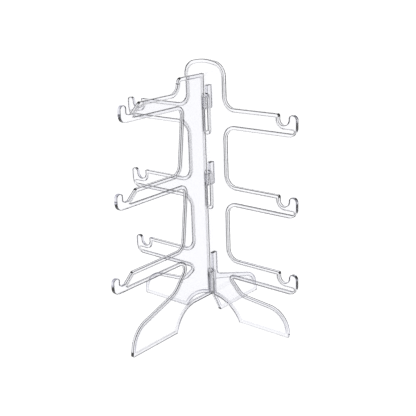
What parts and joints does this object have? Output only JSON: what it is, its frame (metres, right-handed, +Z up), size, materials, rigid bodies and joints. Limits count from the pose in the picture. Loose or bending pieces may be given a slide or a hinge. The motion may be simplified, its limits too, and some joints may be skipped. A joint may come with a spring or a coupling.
{
  "type": "eyeglass display rack",
  "caption": "Free-standing clear plastic rack: a notched back panel and a front fin slot together to hold several pairs of glasses one above another.",
  "frame": {"origin": "on the surface the feet stand on, at the middle of the rack's width and depth", "axes": "+X along the back panel to the viewer's right, -Y towards the front where the lenses face, +Z up"},
  "size_m": [0.1692, 0.1708, 0.2115],
  "materials": {
    "clear_plastic": "clear, polished"
  },
  "bodies": {
    "front_fin": {"front_fin": "clear_plastic"},
    "back_panel": {"back_panel": "clear_plastic"}
  },
  "joints": [
    {"name": "panel_lift", "type": "slide", "parent": "front_fin", "child": "back_panel", "axis": [0, 0, 1], "range_m": [0, 0.0166]}
  ]
}
